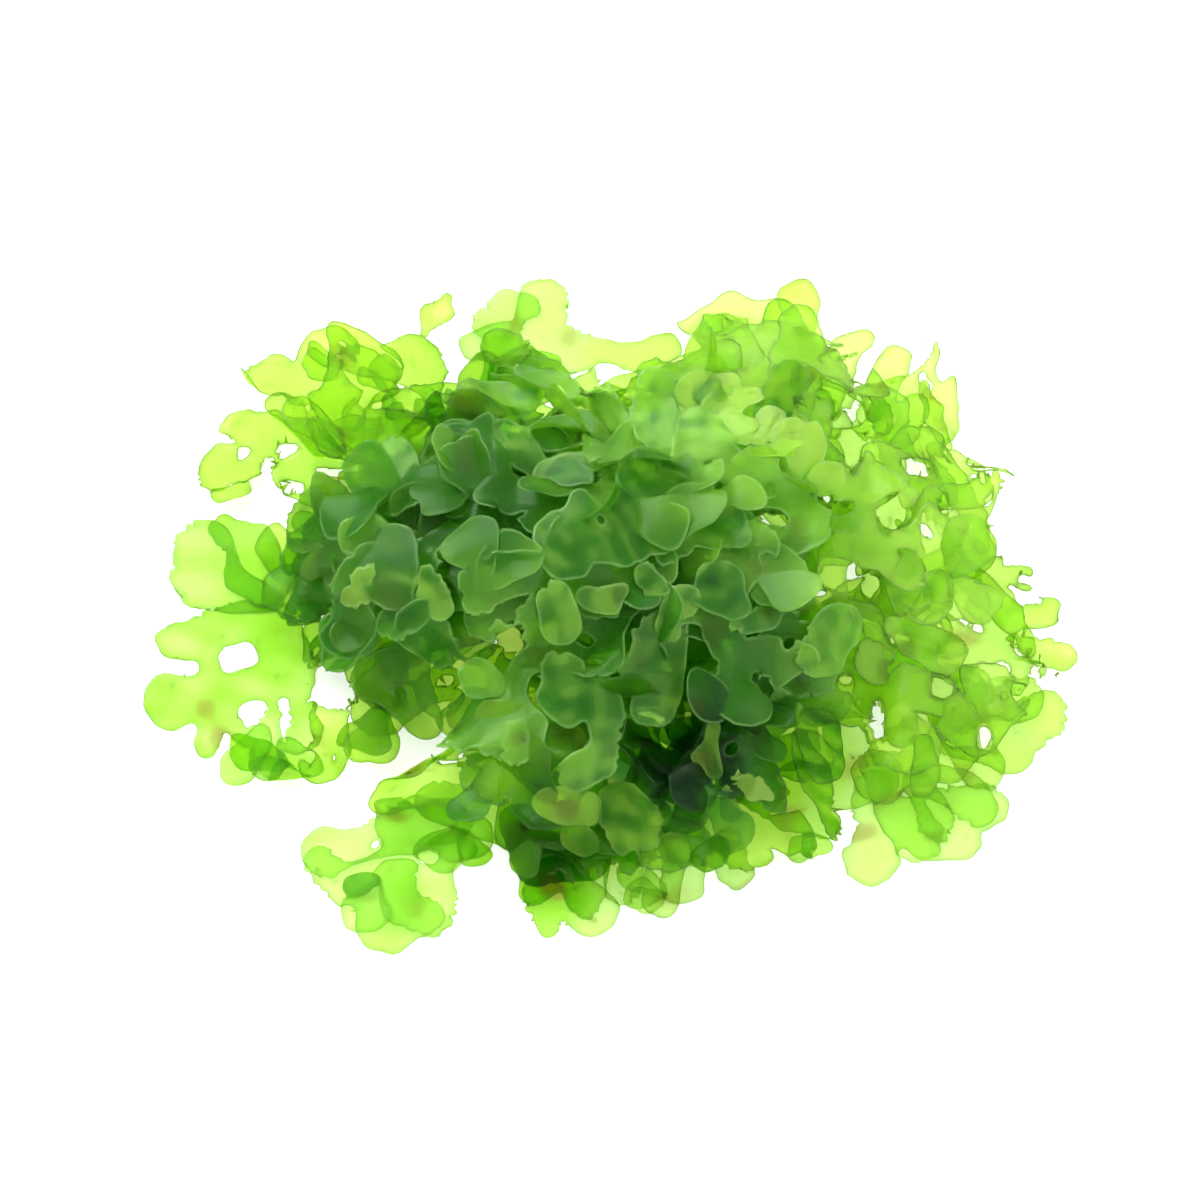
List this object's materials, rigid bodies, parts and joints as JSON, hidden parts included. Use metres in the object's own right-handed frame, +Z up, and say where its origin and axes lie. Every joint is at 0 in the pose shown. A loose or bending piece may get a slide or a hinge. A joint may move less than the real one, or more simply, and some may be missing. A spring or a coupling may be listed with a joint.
{
  "type": "aquatic fern clump",
  "caption": "Loose wet clump of round pellia, an aquatic fern: flat translucent green ribbons that fork into round lobes, heaped and tangled on a flat surface.",
  "frame": {"origin": "middle of the clump's footprint, on the surface that it lies on", "axes": "+Z up, +X along the longer side of the footprint, to the right in the picture, +Y away from the viewer"},
  "size_m": [0.0954, 0.0836, 0.0255],
  "materials": {
    "pale_thallus": "single wet translucent layer, pale yellow-green, thin darker rim",
    "bright_thallus": "wet translucent leaf, bright yellow-green, thin darker rim",
    "green_thallus": "wet translucent leaf, fresh green with olive and brown specks",
    "deep_thallus": "wet translucent leaf, deep green where layers lie over each other",
    "top_thallus": "wet leaf lit from above, slightly milky bluish green"
  },
  "bodies": {
    "root": {"thallus_left_spreading": "pale_thallus", "thallus_front_tongue": "pale_thallus", "thallus_front_left_of_middle": "pale_thallus", "thallus_front_right_of_middle": "pale_thallus", "thallus_front_right": "pale_thallus", "thallus_right_pale": "pale_thallus", "thallus_left_pale": "pale_thallus", "thallus_front_tongue_upper": "pale_thallus", "thallus_edge_01": "bright_thallus", "thallus_edge_02": "bright_thallus", "thallus_edge_03": "bright_thallus", "thallus_edge_04": "bright_thallus", "thallus_edge_05": "bright_thallus", "thallus_edge_06": "bright_thallus", "thallus_edge_07": "bright_thallus", "thallus_edge_08": "bright_thallus", "thallus_edge_09": "bright_thallus", "thallus_back_pale": "pale_thallus", "thallus_edge_11": "bright_thallus", "thallus_edge_12": "bright_thallus", "thallus_edge_13": "bright_thallus", "thallus_edge_14": "bright_thallus", "thallus_edge_15": "bright_thallus", "thallus_slope_01": "green_thallus", "thallus_slope_02": "green_thallus", "thallus_slope_03": "green_thallus", "thallus_slope_04": "green_thallus", "thallus_slope_05": "green_thallus", "thallus_slope_06": "green_thallus", "thallus_slope_07": "green_thallus", "thallus_slope_08": "green_thallus", "thallus_slope_09": "green_thallus", "thallus_slope_10": "green_thallus", "thallus_slope_11": "green_thallus", "thallus_slope_12": "green_thallus", "thallus_shoulder_01": "deep_thallus", "thallus_shoulder_02": "deep_thallus", "thallus_shoulder_03": "deep_thallus", "thallus_shoulder_04": "deep_thallus", "thallus_shoulder_05": "deep_thallus", "thallus_shoulder_06": "deep_thallus", "thallus_shoulder_07": "deep_thallus", "thallus_shoulder_08": "deep_thallus", "thallus_shoulder_09": "deep_thallus", "thallus_shoulder_10": "deep_thallus", "thallus_crown_01": "top_thallus", "thallus_crown_02": "top_thallus", "thallus_crown_03": "top_thallus", "thallus_crown_04": "top_thallus", "thallus_crown_05": "top_thallus", "thallus_crown_06": "top_thallus", "thallus_top_01": "top_thallus", "thallus_top_02": "top_thallus"}
  },
  "joints": []
}
